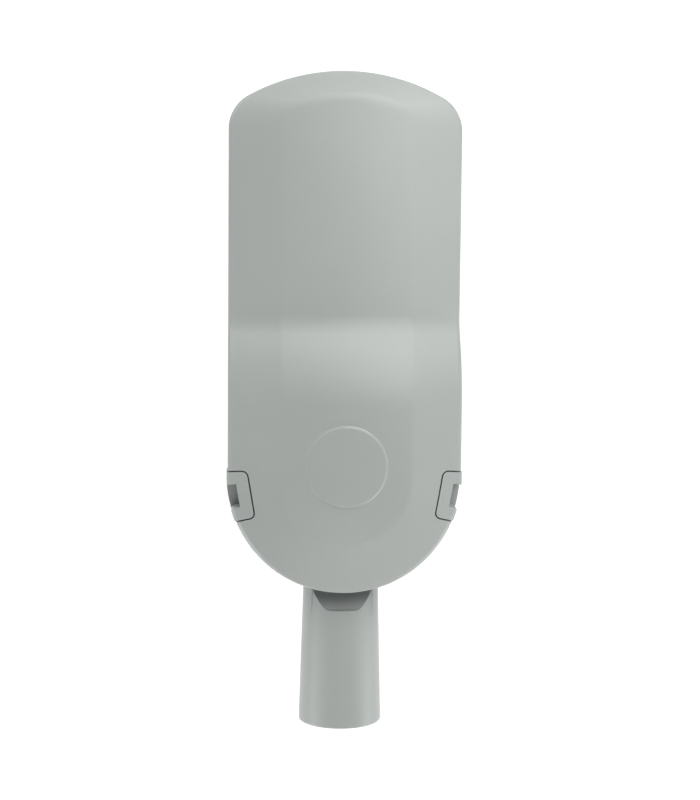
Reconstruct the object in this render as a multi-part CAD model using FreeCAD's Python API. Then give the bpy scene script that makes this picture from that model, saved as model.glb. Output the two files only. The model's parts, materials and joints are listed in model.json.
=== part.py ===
import FreeCAD, Part
import os
from math import asin, atan2, cos, degrees, floor, pi, radians, sin, sqrt, tan
from FreeCAD import Vector

# LED street light head on a pole spigot. Millimetres.
# Origin: centre of the pole socket's mouth. +Y points to the lamp's front tip, +Z up.

# Plan of the head
head_width = 210.0
head_length = 468.0
head_rear_y = 128.0
front_arc_r = 180.0
front_corner_r = 34.0
plateau_half = 58.5
front_bevel_run = 18.4

# Heights of the head
seam_z = 12.0
front_shoulder_z = 24.0
bevel_rise = 18.0
crown_rise = 4.5
shoulder_r = 6.0
plateau_edge_r = 15.0
skin = 3.0

# Step between the thin front part and the deep gear part
step_rise = 25.0
step_front_y = 378.0
step_rear_y = 297.0
step_angle = 30.0
step_concave_r = 30.0
front_join_y = 471.0
join_tolerance = 0.002

# Raised disc over the gear part
disc_y = 246.0
disc_r = 37.5
disc_height = 1.2
disc_edge_r = 3.5

# Gear door
door_front_y = 385.0
door_depth = 42.0
door_taper = 8.0
door_front_taper = 30.0
door_chamfer = 5.0
door_corner_r = 6.0
door_wall = 3.0
rim_ledge = 6.0
rim_ledge_thick = 3.0
seal_thick = 3.0
seal_play = 0.4
door_rib_x = 36.0
door_rib_thick = 2.5
door_rib_height = 4.0

# Door hinge
hinge_drop = 5.0
hinge_out = 5.5
hinge_r = 4.5
hinge_pin_r = 2.0
hinge_x = 60.0
hinge_knuckle = 14.0
hinge_ear = 6.0
running_gap = 0.05
side_gap = 0.3

# Hollow in the rear of the head that takes the spigot's knuckle
hollow_half = 50.0
hollow_clear = 6.0
hollow_corner_r = 8.0
lip_z = 40.0

# Pole spigot
socket_r = 31.0
socket_depth = 92.0
mouth_r = 38.2
neck_r = 34.7
mouth_edge_r = 1.5
neck_end_y = 142.0
tilt_y = 170.0
tilt_z = 0.0
knuckle_half = 28.0
knuckle_start_y = 102.0
knuckle_r = 28.0
knuckle_top_z = 22.0
scoop_end_y = 109.0
scoop_end_z = 32.0
scoop_low_y = 126.0
scoop_corner_r = 3.0
ear_sweep_r = 34.0
cable_r = 10.0
cable_slot_y = (131.0, 167.0)
set_screw_y = (28.0, 66.0)
set_screw_r = 4.0
set_boss_r = 8.0
set_boss_height = 2.5
set_screw_socket_af = 4.0
set_screw_proud = 2.0

# Tilt ears of the housing and their bolts
ear_gap = 0.2
ear_thick = 9.8
ear_r = 22.0
ear_web_half = 15.0
bolt_r = 5.0
bolt_reach = 14.0
bolt_head_af = 16.0
bolt_head_height = 6.4
washer_r = 10.0
washer_thick = 2.0
washer_gap = 0.1
thread_gap = 0.03

# Latches: inner corners of the notch, in from the side wall and along from the rear's centre
notch_front_in = 17.8
notch_front_along = 8.0
notch_back_in = 25.2
notch_back_along = -35.0
notch_front_slope = -0.079
notch_back_slope = -0.27
notch_corner_r = 6.0
latch_gap = 1.15
latch_proud = 1.0
latch_skin = 3.0
latch_rib = 2.5
pivot_in = 13.0
pivot_z = 17.0
barrel_r = 4.4
leg_foot_z = 19.0
slot_in = 12.2
slot_t = (-10.2, 11.1)
slot_flare_in = 19.0
slot_flare = (4.0, 6.0)
slot_floor_z = 30.0
slot_wall = 3.0
arm_in = 11.0
arm_thick = 2.0
arm_half = 8.0
nose_reach = 1.7
nose_z = (2.5, 6.0)
keeper_z = (6.3, 9.0)
keeper_bite = 1.3
latch_pin_r = 1.5
pin_seat = 2.5

# Light source in the front part
window_back_y = 392.0
frame_inset = 4.0
frame_play = 0.3
frame_thick = 2.8
frame_cover = 7.0
glass_inset = 13.0
glass_play = 0.4
glass_thick = 5.0
glass_seal_thick = 1.5
light_inset = 20.0
frame_corner_r = 8.0
platform_z = 38.0
platform_side_inset = 45.0
platform_front_inset = 26.0
frame_screw_inset = 8.5
frame_screw_r = 2.0
frame_screw_head_af = 7.0
frame_screw_head = 2.4
frame_screw_depth = 8.0
pad_thick = 0.5
board_margin = 6.0
board_corner_r = 4.0
board_thick = 1.6
chip_size = 5.0
chip_thick = 0.8
chip_gap = 0.4
lens_base = 2.0
lens_height = 5.5
lens_r = 8.0
lens_pitch = (24.0, 24.0)
lens_margin = 13.0
lens_gap = 2.0
lens_edge = 1.0
lens_screw_r = 1.5
lens_screw_head_af = 5.5
lens_screw_head = 1.8
lens_screw_inset = 5.0

# Gear inside the rear part, with lengthwise places counted from the hollow's front
tray_z = 34.0
tray_thick = 1.5
tray_x = (-66.0, 66.0)
tray_along = (13.0, 149.0)
tray_lip = 8.0
tray_lip_inset = 20.0
post_r = 5.0
post_inset = 8.0
tray_screw_r = 2.0
tray_screw_af = 7.0
tray_screw_head = 3.0
tray_screw_length = 10.0
thread_spare = 1.0
driver_x = (-50.0, 8.0)
driver_along = (17.0, 145.0)
driver_height = 34.0
driver_cap = 12.0
driver_cap_inset = 1.5
driver_chamfer = 4.0
surge_x = (15.0, 45.0)
surge_along = (93.0, 143.0)
surge_height = 30.0
terminal_x = (14.0, 62.0)
terminal_along = (43.0, 65.0)
terminal_height = 20.0
terminal_ways = 5
terminal_groove = (1.6, 5.0)
terminal_entry = (4.4, 6.0)
terminal_entry_z = (4.0, 9.0)
switch_x = (49.0, 63.0)
switch_along = (89.0, 129.0)
switch_height = 34.0
switch_well = (4.0, 6.0, 14.0)
gland_z = 44.0
gland_thread_r = 9.0
gland_af = 22.0
gland_bore_r = 5.5
gland_dome_r = 10.0
gland_dome_tip_r = 7.0
gland_dome = 9.0
gland_collar = 6.0
gland_nut = 4.0
gland_spare = 2.0
vent_along = 97.0
vent_r = 5.0
vent_af = 16.0
vent_head = 3.0
vent_reach = 4.0
earth_x = 30.0
earth_along = 25.0
earth_r = 2.5
earth_af = 8.0
earth_head = 4.0
earth_length = 6.5
grommet_x = -30.0
grommet_z = 28.0
grommet_r = 4.0
grommet_rim = 6.5
grommet_rim_thick = 2.0
grommet_wall = 1.2
grommet_length = 12.0

# Values that follow from the ones above
half_width = head_width / 2
rear_centre_y = head_rear_y + half_width
front_tip_y = head_rear_y + head_length
bevel_slope = bevel_rise / (half_width - plateau_half)
bevel_tilt = sqrt(1 + bevel_slope ** 2)
crown_r = (plateau_half ** 2 + crown_rise ** 2) / (2 * crown_rise)
rear_shoulder_z = front_shoulder_z + step_rise
rear_top_z = rear_shoulder_z + bevel_rise + crown_rise
door_floor_z = seam_z - door_depth
hinge_y = door_front_y + hinge_out
hinge_z = seam_z - hinge_drop
top_clear = 40.0
ear_out = knuckle_half + ear_gap + ear_thick
hollow_front_y = tilt_y + knuckle_r + hollow_clear
tray_y = [hollow_front_y + along for along in tray_along]
driver_y = [hollow_front_y + along for along in driver_along]
surge_y = [hollow_front_y + along for along in surge_along]
terminal_y = [hollow_front_y + along for along in terminal_along]
switch_y = [hollow_front_y + along for along in switch_along]
vent_y = hollow_front_y + vent_along
earth_spot = (earth_x, hollow_front_y + earth_along)
glass_low_z = seam_z + frame_thick + 0.2
glass_top_z = glass_low_z + glass_thick
light_z = glass_top_z + glass_seal_thick
board_low_z = platform_z - pad_thick - board_thick
notch_front = Vector(half_width - notch_front_in, rear_centre_y + notch_front_along, 0)
notch_back = Vector(half_width - notch_back_in, rear_centre_y + notch_back_along, 0)
latch_turn = -degrees(atan2(notch_front.x - notch_back.x, notch_front.y - notch_back.y))
latch_mid = (notch_front + notch_back) / 2
latch_reach = (notch_front - notch_back).Length
light_back_y = window_back_y + light_inset
platform_half = half_width - platform_side_inset
platform_tip_y = front_tip_y - platform_front_inset
platform_arc_r = front_arc_r - 2 * light_inset
board_half = platform_half - board_margin
board_arc_drop = platform_arc_r - sqrt(platform_arc_r ** 2 - board_half ** 2)
board_back_y = light_back_y + board_margin
board_front_y = platform_tip_y - board_arc_drop - board_margin
board_y = (board_back_y + board_front_y) / 2
lens_rows = 1 + floor((board_front_y - board_back_y - 2 * lens_margin) / lens_pitch[1])


def flat(z):
    """Places plan coordinates at a height."""
    return lambda u, v: Vector(u, v, z)


def rounded_wire(points, radii, place):
    """Closed wire through the points, with each corner rounded by its radius."""
    corners = [place(u, v) for u, v in points]
    if not isinstance(radii, (list, tuple)):
        radii = [radii] * len(corners)
    starts, ends, arcs = [], [], []
    for i, corner in enumerate(corners):
        before = (corners[i - 1] - corner).normalize()
        after = (corners[(i + 1) % len(corners)] - corner).normalize()
        half = before.getAngle(after) / 2
        radius = radii[i]
        if radius > 0 and half < pi / 2 - 1e-6:
            reach = radius / tan(half)
            inward = (before + after).normalize()
            middle = corner + inward * (radius / sin(half) - radius)
            starts.append(corner + before * reach)
            ends.append(corner + after * reach)
            arcs.append(Part.Arc(starts[-1], middle, ends[-1]).toShape())
        else:
            starts.append(corner)
            ends.append(corner)
            arcs.append(None)
    edges = []
    for i, arc in enumerate(arcs):
        if arc:
            edges.append(arc)
        following = starts[(i + 1) % len(starts)]
        if (following - ends[i]).Length > 1e-6:
            edges.append(Part.LineSegment(ends[i], following).toShape())
    return Part.Wire(edges)


def slab(points, radii, z0, z1):
    """Upright plate with rounded corners in plan."""
    face = Part.Face(rounded_wire(points, radii, flat(z0)))
    return face.extrude(Vector(0, 0, z1 - z0))


def box(x0, x1, y0, y1, z0, z1):
    return Part.makeBox(x1 - x0, y1 - y0, z1 - z0, Vector(x0, y0, z0))


def rod(radius, start, end):
    """Cylinder from one point to another."""
    start, end = Vector(*start), Vector(*end)
    return Part.makeCylinder(radius, (end - start).Length, start, end - start)


def hex_rod(across_flats, start, end):
    """Six-sided prism from one point to another."""
    start, end = Vector(*start), Vector(*end)
    axis = (end - start).normalize()
    across = axis.cross(Vector(0, 0, 1))
    if across.Length < 0.1:
        across = Vector(1, 0, 0)
    across.normalize()
    up = axis.cross(across)
    reach = across_flats / sqrt(3)
    corners = [start + across * (reach * cos(i * pi / 3)) + up * (reach * sin(i * pi / 3)) for i in range(7)]
    return Part.Face(Part.makePolygon(corners)).extrude(end - start)


def mirrored(shape):
    return shape.mirror(Vector(0, 0, 0), Vector(1, 0, 0))


def one(shape):
    """The single solid of a boolean result."""
    return shape.Solids[0] if len(shape.Solids) == 1 else shape


def roof_edges(y, shoulder_z, inset, wall_x, shoulder, edge, crowned):
    """Right half of the roof's cross-section, from the wall's foot to the centre line."""

    def bevel_point(x):
        return Vector(x, y, shoulder_z + (half_width - x) * bevel_slope - inset * bevel_tilt)

    corner = bevel_point(wall_x)
    foot = Vector(wall_x, y, seam_z - step_rise - 2)
    down = Vector(0, 0, -1)
    inward = Vector(-1, 0, bevel_slope).normalize()
    edges = []
    start = corner
    if shoulder:
        half = down.getAngle(inward) / 2
        middle = (down + inward).normalize()
        low = corner + down * (shoulder / tan(half))
        start = corner + inward * (shoulder / tan(half))
        edges.append(Part.LineSegment(foot, low).toShape())
        edges.append(Part.Arc(low, corner + middle * (shoulder / sin(half) - shoulder), start).toShape())
    else:
        edges.append(Part.LineSegment(foot, corner).toShape())
    if not crowned:
        flat_start = bevel_point(plateau_half)
        edges.append(Part.LineSegment(start, flat_start).toShape())
        edges.append(Part.LineSegment(flat_start, Vector(0, y, flat_start.z)).toShape())
        return edges
    top = Vector(0, y, shoulder_z + bevel_rise + crown_rise - inset)
    radius = crown_r - inset
    centre = top - Vector(0, 0, radius)
    normal = Vector(bevel_slope, 0, 1) / bevel_tilt
    to_blend = corner - normal * edge - centre
    along = to_blend.dot(inward)
    slide = sqrt(along ** 2 - to_blend.dot(to_blend) + (radius - edge) ** 2) - along
    blend = centre + to_blend + inward * slide
    on_bevel = blend + normal * edge
    on_crown = centre + (blend - centre).normalize() * radius
    edges.append(Part.LineSegment(start, on_bevel).toShape())
    if edge:
        out = (on_bevel + on_crown - blend * 2).normalize()
        edges.append(Part.Arc(on_bevel, blend + out * edge, on_crown).toShape())
    out = ((on_crown - centre).normalize() + Vector(0, 0, 1)).normalize()
    edges.append(Part.Arc(on_crown, centre + out * radius, top).toShape())
    return edges


def roof_wire(y, shoulder_z, inset, wall_x, shoulder, edge, crowned):
    """Whole cross-section of the roof as a closed wire."""
    right = roof_edges(y, shoulder_z, inset, wall_x, shoulder, edge, crowned)
    left = [mirrored(e) for e in right]
    foot = right[0].Vertexes[0].Point
    base = Part.LineSegment(Vector(-foot.x, foot.y, foot.z), foot).toShape()
    return Part.Wire(Part.__sortEdges__([base] + right + left))


def step_path():
    """Side view of the step: level, concave arc, slope, convex arc."""
    angle = radians(step_angle)
    run = step_front_y - step_rear_y
    spread = sin(angle) ** 2 - cos(angle) * (1 - cos(angle))
    radii = (run * sin(angle) - step_rise * cos(angle)) / spread
    convex_r = radii - step_concave_r
    low = Vector(0, step_front_y, 0)
    high = Vector(0, step_rear_y, step_rise)

    def on_concave(turn):
        return low + Vector(0, -sin(turn), 1 - cos(turn)) * step_concave_r

    def on_convex(turn):
        return high + Vector(0, sin(turn), cos(turn) - 1) * convex_r

    return Part.Wire([
        Part.LineSegment(Vector(0, front_join_y, 0), low).toShape(),
        Part.Arc(low, on_concave(angle / 2), on_concave(angle)).toShape(),
        Part.LineSegment(on_concave(angle), on_convex(angle)).toShape(),
        Part.Arc(on_convex(angle), on_convex(angle / 2), high).toShape(),
    ])


def rear_form(inset, wall_x, shoulder, edge, crowned):
    """Gear part behind the step: straight length and round rear end."""
    full = roof_wire(rear_centre_y, rear_shoulder_z, inset, wall_x, shoulder, edge, crowned)
    straight = Part.Face(full).extrude(Vector(0, step_rear_y - rear_centre_y, 0))
    profile = roof_edges(rear_centre_y, rear_shoulder_z, inset, wall_x, shoulder, edge, crowned)
    foot = profile[0].Vertexes[0].Point
    top = profile[-1].Vertexes[-1].Point
    low = Vector(0, rear_centre_y, foot.z)
    profile += [Part.LineSegment(low, foot).toShape(), Part.LineSegment(top, low).toShape()]
    face = Part.Face(Part.Wire(Part.__sortEdges__(profile)))
    return straight, face.revolve(low, Vector(0, 0, 1), -180)


def corner_centre(half, corner_r, tip_y, arc_r):
    """Centre of the arc that joins a straight side to the front arc."""
    centre_x = half - corner_r
    lift = sqrt((arc_r - corner_r) ** 2 - centre_x ** 2)
    return centre_x, tip_y - arc_r + lift


def front_plan(inset, corner_r, z, back_y, half=None, tip_y=None, arc_r=None):
    """Outline of the front part: front arc, two corner arcs, straight sides and back."""
    half = half_width - inset if half is None else half
    tip_y = front_tip_y - inset if tip_y is None else tip_y
    arc_r = front_arc_r - inset if arc_r is None else arc_r
    centre_x, centre_y = corner_centre(half, corner_r, tip_y, arc_r)
    turn = atan2(centre_y - tip_y + arc_r, centre_x)

    def on_corner(angle, sign):
        return Vector(sign * (centre_x + corner_r * cos(angle)), centre_y + corner_r * sin(angle), z)

    right, left = Vector(half, back_y, z), Vector(-half, back_y, z)
    return Part.Wire([
        Part.LineSegment(left, right).toShape(),
        Part.LineSegment(right, on_corner(0, 1)).toShape(),
        Part.Arc(on_corner(0, 1), on_corner(turn / 2, 1), on_corner(turn, 1)).toShape(),
        Part.Arc(on_corner(turn, 1), Vector(0, tip_y, z), on_corner(turn, -1)).toShape(),
        Part.Arc(on_corner(turn, -1), on_corner(turn / 2, -1), on_corner(0, -1)).toShape(),
        Part.LineSegment(on_corner(0, -1), left).toShape(),
    ])


def front_form():
    """Front part with its bevels running round the corners and a crowned plateau."""
    low = front_plan(0, front_corner_r, front_shoulder_z, front_join_y)
    grow = (bevel_rise + 2 * crown_rise + 3) / bevel_rise
    half = half_width - (half_width - plateau_half) * grow
    high_corner_r = 8.0
    tip_y = front_tip_y - front_bevel_run * grow
    corner_share = (half_width - front_corner_r) / (front_arc_r - front_corner_r)
    arc_r = high_corner_r + (half - high_corner_r) / corner_share
    high = front_plan(0, high_corner_r, front_shoulder_z + bevel_rise * grow, front_join_y, half, tip_y, arc_r)
    hip = Part.makeLoft([low, high], True, True)
    wall = Part.Face(low).extrude(Vector(0, 0, seam_z - front_shoulder_z))
    body = hip.fuse(wall).removeSplitter()
    top_z = front_shoulder_z + bevel_rise + crown_rise
    axis = Vector(0, front_join_y - 1, top_z - crown_r)
    crown = Part.makeCylinder(crown_r, head_length, axis, Vector(0, 1, 0))
    crown.rotate(axis, Vector(0, 1, 0), 90)
    body = one(body.common(crown))
    shoulder = [e for e in body.Edges if abs(e.BoundBox.Center.z - front_shoulder_z) < 0.01
                and e.BoundBox.ZLength < 0.01 and e.BoundBox.YMax > front_join_y + 1]
    body = body.makeFillet(shoulder_r, shoulder)
    brow = [e for e in body.Edges if e.BoundBox.ZMin > front_shoulder_z + bevel_rise - 0.5
            and e.BoundBox.YMax > front_join_y + 1]
    return body.makeFillet(plateau_edge_r, brow)


def head_form():
    """Outer form of the whole head above the seam, with the raised disc."""
    section = roof_wire(front_join_y, front_shoulder_z, 0, half_width, shoulder_r, plateau_edge_r, True)
    stepped = swept(section)
    straight, end = rear_form(0, half_width, shoulder_r, plateau_edge_r, True)
    body = stepped.fuse([straight, end]).common(above_seam())
    return one(body.fuse([front_form()], join_tolerance).removeSplitter())


def swept(section):
    """The cross-section carried along the step's side view without turning."""
    sweep = Part.BRepOffsetAPI.MakePipeShell(step_path())
    sweep.setTrihedronMode(Vector(0, 0, 0), Vector(1, 0, 0))
    sweep.add(section, False, False)
    sweep.build()
    sweep.makeSolid()
    return sweep.shape()


def above_seam():
    return box(-head_width, head_width, 0, 2 * head_length, seam_z, rear_top_z + top_clear)


def raised_disc():
    """Shallow disc on the crown, with a rounded edge."""
    lift = rear_top_z + disc_height
    foot_z = rear_top_z - crown_rise - disc_edge_r
    drum = rod(disc_r, (0, disc_y, foot_z), (0, disc_y, lift + 1))
    axis = Vector(0, disc_y - head_width, lift - crown_r)
    crown = Part.makeCylinder(crown_r, 2 * head_width, axis, Vector(0, 1, 0))
    crown.rotate(axis, Vector(0, 1, 0), 90)
    disc = one(drum.common(crown))
    rim = [e for e in disc.Edges if e.BoundBox.ZMax > lift - disc_edge_r and e.BoundBox.ZMin > foot_z + 1
           and e.BoundBox.XLength > disc_r / 2]
    return disc.makeFillet(disc_edge_r, rim)


def under_roof():
    """Room below the roof's skin, wider than the head, down past the seam."""
    wall_x = half_width + 5
    section = roof_wire(front_join_y, front_shoulder_z, skin, wall_x, 0, 0, False)
    straight, end = rear_form(skin, wall_x, 0, 0, False)
    return swept(section).fuse([straight, end])


def notch_wire(z):
    """Latch notch on the right side, in plan."""
    outside = half_width + latch_reach / 4
    back_y = notch_back.y + notch_back_slope * (outside - notch_back.x)
    front_y = notch_front.y + notch_front_slope * (outside - notch_front.x)
    points = [(outside, back_y), (outside, front_y), (notch_front.x, notch_front.y), (notch_back.x, notch_back.y)]
    return rounded_wire(points, [0, 0, notch_corner_r, notch_corner_r], flat(z))


def notch(z0, z1, shrink=0.0):
    """Solid that fills the right notch, less a gap."""
    face = Part.Face(notch_wire(z0))
    if shrink:
        face = face.makeOffset2D(-shrink)
    return face.extrude(Vector(0, 0, z1 - z0))


def both(shape):
    return [shape, mirrored(shape)]


def hollow(z0, z1, grow=0.0):
    """Space for the spigot's knuckle, open to the rear."""
    half = hollow_half + grow
    front = hollow_front_y + grow
    points = [(-half, 0), (half, 0), (half, front), (-half, front)]
    return slab(points, [0, 0, hollow_corner_r + grow, hollow_corner_r + grow], z0, z1)


def gear_outline(inset, front_y, z, corner_r=0.0):
    """Rear outline of the head closed by a straight front."""
    radius = half_width - inset
    rear = Vector(0, rear_centre_y - radius, z)
    right, left = Vector(radius, rear_centre_y, z), Vector(-radius, rear_centre_y, z)
    reach = corner_r * (1 - cos(pi / 4))
    front_right, front_left = Vector(radius, front_y, z), Vector(-radius, front_y, z)
    edges = [Part.Arc(left, rear, right).toShape()]
    back = Vector(0, corner_r, 0)
    in_x = Vector(corner_r, 0, 0)
    nudge = Vector(reach, reach, 0)
    edges.append(Part.LineSegment(right, front_right - back).toShape())
    if corner_r:
        edges.append(Part.Arc(front_right - back, front_right - nudge, front_right - in_x).toShape())
    edges.append(Part.LineSegment(front_right - in_x, front_left + in_x).toShape())
    if corner_r:
        middle = front_left + Vector(reach, -reach, 0)
        edges.append(Part.Arc(front_left + in_x, middle, front_left - back).toShape())
    edges.append(Part.LineSegment(front_left - back, left).toShape())
    return Part.Wire(edges)


def gear_plan():
    """Plan of the gear room with its walls, round the latch notches and the hollow."""
    whole = Part.Face(gear_outline(0, door_front_y, seam_z, door_corner_r))
    tools = [Part.Face(w) for w in both(notch_wire(seam_z))]
    floor = hollow(seam_z, seam_z + 1)
    tools.append([f for f in floor.Faces if f.BoundBox.ZLength < 0.01 and f.BoundBox.ZMin < seam_z + 0.5][0])
    return whole.cut(tools).Faces[0]


def ring_of(plan, outer, inner, z0, z1):
    """Band between two insets of a plan face."""

    def column(inset):
        face = plan.makeOffset2D(-inset) if inset else plan.copy()
        face.translate(Vector(0, 0, z0 - seam_z))
        return face.extrude(Vector(0, 0, z1 - z0))

    return column(outer).cut(column(inner))


def column_of(plan, inset, z0, z1):
    face = plan.makeOffset2D(-inset) if inset else plan.copy()
    face.translate(Vector(0, 0, z0 - seam_z))
    return face.extrude(Vector(0, 0, z1 - z0))


def window(inset, z0, z1):
    """Solid over the front part's window, inset from the outline and rounded at its back."""
    back_y = window_back_y + inset
    wire = front_plan(inset, front_corner_r - inset, z0, back_y)
    solid = Part.Face(wire).extrude(Vector(0, 0, z1 - z0))
    backs = [e for e in solid.Edges if e.BoundBox.ZLength > 0.9 * (z1 - z0) and e.BoundBox.YMax < back_y + 0.1]
    return solid.makeFillet(frame_corner_r, backs)


def light_room():
    """Hollow above the glass that narrows to the circuit board's platform."""
    corner_r = front_corner_r - light_inset
    low_wire = front_plan(light_inset, corner_r, light_z + skin, light_back_y)
    high_wire = front_plan(0, corner_r, platform_z, light_back_y, platform_half, platform_tip_y, platform_arc_r)
    room = Part.makeLoft([low_wire, high_wire], True, True)
    wire = front_plan(light_inset, corner_r, light_z, light_back_y)
    return Part.Face(wire).extrude(Vector(0, 0, skin)).fuse(room)


def frame_screw_spots():
    """Places of the glass frame's screws round the window."""
    half = half_width - frame_screw_inset
    back_y = window_back_y + frame_screw_inset
    front_y = front_tip_y - frame_screw_inset
    centre_x, centre_y = corner_centre(half_width, front_corner_r, front_tip_y, front_arc_r)
    diagonal = (front_corner_r - frame_screw_inset) * sin(pi / 4)
    spots = [(0, front_y), (0, back_y)]
    for sign in (-1, 1):
        spots.append((sign * half, (back_y + centre_y) / 2))
        spots.append((sign * (half - 4), back_y + 4))
        spots.append((sign * (centre_x + diagonal), centre_y + diagonal))
    return spots


def tilt_ear(x0, x1):
    """Lug that hangs from the roof and takes a tilt bolt."""
    disc = rod(ear_r, (x0, tilt_y, tilt_z), (x1, tilt_y, tilt_z))
    web = box(x0, x1, tilt_y - ear_web_half, tilt_y + ear_web_half, tilt_z, rear_top_z)
    return disc.fuse(web)


def tray_spots():
    xs = [tray_x[0] + post_inset, tray_x[1] - post_inset]
    ys = [tray_y[0] + post_inset, tray_y[1] - post_inset]
    return [(x, y) for x in xs for y in ys]


def latch_place(shape):
    """Moves a shape from the right latch's own frame, outward, along and up, to the head."""
    shape = shape.copy()
    shape.rotate(Vector(0, 0, 0), Vector(0, 0, 1), latch_turn)
    shape.translate(latch_mid)
    return shape


def latch_rod(radius):
    """Rod on the right latch's pivot axis that runs past both ends of the notch."""
    return latch_place(rod(radius, (pivot_in, -latch_reach, pivot_z), (pivot_in, latch_reach, pivot_z)))


def latch_pin():
    """Pin of the right latch, seated in both ends of the notch."""
    gap = notch(seam_z, rear_top_z)
    line = latch_rod(latch_pin_r)
    inside = line.common(gap)
    start, end = sorted((inside.BoundBox.YMin, inside.BoundBox.YMax))
    scale = cos(radians(latch_turn))
    low = (start - latch_mid.y) / scale - pin_seat + pivot_in * sin(radians(-latch_turn)) / scale
    high = (end - latch_mid.y) / scale + pin_seat + pivot_in * sin(radians(-latch_turn)) / scale
    return latch_place(rod(latch_pin_r, (pivot_in, low, pivot_z), (pivot_in, high, pivot_z)))


def top_housing():
    """Die-cast roof and walls in one piece, with platform, bosses and tilt ears."""
    plan = gear_plan()
    room = under_roof()
    body = head_form().fuse(raised_disc())
    gear_room = room.common(column_of(plan, skin, seam_z - 1, rear_top_z))
    body = body.cut(gear_room)
    body = body.cut(room.common(hollow(seam_z - 1, rear_top_z)))
    body = body.cut(hollow(seam_z - 1, lip_z))
    body = body.cut(both(notch(seam_z - 1, rear_top_z + top_clear)))
    ledge = ring_of(plan, skin / 2, skin + rim_ledge, seam_z, seam_z + rim_ledge_thick)
    additions = [ledge]
    for x0, x1 in ((knuckle_half + ear_gap, ear_out), (-ear_out, -knuckle_half - ear_gap)):
        additions.append(tilt_ear(x0, x1))
    additions += [rod(post_r, (x, y, tray_z + tray_thick), (x, y, rear_top_z)) for x, y in tray_spots()]
    limit = head_form().fuse(box(-ear_out, ear_out, tilt_y - ear_r, tilt_y + ear_r, tilt_z - ear_r, seam_z))
    body = body.fuse([a.common(limit) for a in additions])
    body = body.cut(window(frame_inset, seam_z - 1, glass_low_z))
    body = body.cut(window(glass_inset, seam_z, light_z))
    body = body.cut(light_room())
    body = body.fuse(hinge_ears())
    holes = []
    for x, y in frame_screw_spots():
        top = glass_low_z + frame_screw_depth + thread_spare
        holes.append(rod(frame_screw_r + thread_gap, (x, y, seam_z), (x, y, top)))
    depth = tray_screw_length + thread_spare
    for x, y in tray_spots():
        holes.append(rod(tray_screw_r + thread_gap, (x, y, tray_z), (x, y, tray_z + depth)))
    holes.append(rod(bolt_r + 2 * running_gap, (-ear_out - 1, tilt_y, tilt_z), (ear_out + 1, tilt_y, tilt_z)))
    wall_y = hollow_front_y + skin
    holes.append(rod(gland_thread_r + thread_gap, (0, hollow_front_y - 1, gland_z), (0, wall_y + 1, gland_z)))
    wall_y = door_front_y - skin
    start, end = (grommet_x, wall_y - 1, grommet_z), (grommet_x, light_back_y + 1, grommet_z)
    holes.append(rod(grommet_r + thread_gap, start, end))
    pins = [latch_pin(), hinge_pin(hinge_x)]
    for pin in pins:
        grown = pin.copy().makeOffsetShape(thread_gap, 1e-3, join=2)
        holes += both(grown)
    return one(body.cut(holes))


def hinge_span():
    """Inner and outer X of the right hinge's ears and knuckle."""
    half = hinge_knuckle / 2
    return hinge_x - half, hinge_x + half


def hinge_ears():
    """Ears under the head that carry the door's hinge pins."""
    near, far = hinge_span()
    ears = []
    for x0, x1 in ((near - side_gap - hinge_ear, near - side_gap), (far + side_gap, far + side_gap + hinge_ear)):
        barrel = rod(hinge_r, (x0, hinge_y, hinge_z), (x1, hinge_y, hinge_z))
        foot = box(x0, x1, hinge_y - hinge_r, hinge_y + hinge_r, hinge_z, seam_z + 1)
        ears += both(barrel.fuse(foot))
    return ears


def hinge_pin(x):
    near, far = x - hinge_knuckle / 2, x + hinge_knuckle / 2
    reach = side_gap + hinge_ear
    return rod(hinge_pin_r, (near - reach, hinge_y, hinge_z), (far + reach, hinge_y, hinge_z))


def door_form(inset, z_top):
    """Tapered tray form of the door: three outlines joined straight."""
    share = (door_depth - door_chamfer) / door_depth
    levels = [(0, 0, 0), (door_taper * share, door_front_taper * share, door_depth - door_chamfer)]
    levels.append((door_taper + door_chamfer, door_front_taper + door_chamfer, door_depth - inset))
    wires = []
    for taper, front_taper, depth in levels:
        z = z_top if depth == 0 else seam_z - depth
        wires.append(gear_outline(inset + taper, door_front_y - inset - front_taper, z, door_corner_r - inset))
    return Part.makeLoft(wires, True, True)


def gear_door():
    """Cover of the gear room: tray with latch wells, keepers, hinge knuckles and a ledge for its seal."""
    plan = gear_plan()
    tub = door_form(0, seam_z)
    room = door_form(door_wall, seam_z)
    wells = [room.common(w) for w in both(notch(door_floor_z, seam_z + 1))]
    hold = room.common(column_of(plan, door_wall, door_floor_z, seam_z + 1))
    ribs = [rib.common(hold) for rib in both(door_rib())]
    body = tub.cut(hold).fuse(ribs)
    body = body.cut(wells)
    body = body.cut(hollow(door_floor_z - 1, seam_z + 1))
    ledge_z = seam_z - seal_thick
    ledge = ring_of(plan, door_wall / 2, door_wall + rim_ledge, ledge_z - rim_ledge_thick, ledge_z)
    body = body.fuse(ledge.common(tub))
    body = body.fuse(both(keeper().common(tub)))
    near, far = hinge_span()
    barrel = rod(hinge_r, (near, hinge_y, hinge_z), (far, hinge_y, hinge_z))
    foot = box(near, far, door_front_y - door_wall, hinge_y, hinge_z - hinge_r, seam_z - side_gap)
    clear = box(near - 1, far + 1, hinge_y, hinge_y + 2 * hinge_r, hinge_z, seam_z)
    knuckle = barrel.fuse(foot.cut(clear))
    body = body.fuse(both(knuckle))
    pin = rod(hinge_pin_r + running_gap, (near - 1, hinge_y, hinge_z), (far + 1, hinge_y, hinge_z))
    vent = rod(vent_r + thread_gap, (0, vent_y, door_floor_z - 1), (0, vent_y, door_floor_z + 2 * door_wall))
    return one(body.cut(both(pin) + [vent]).removeSplitter())


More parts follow.
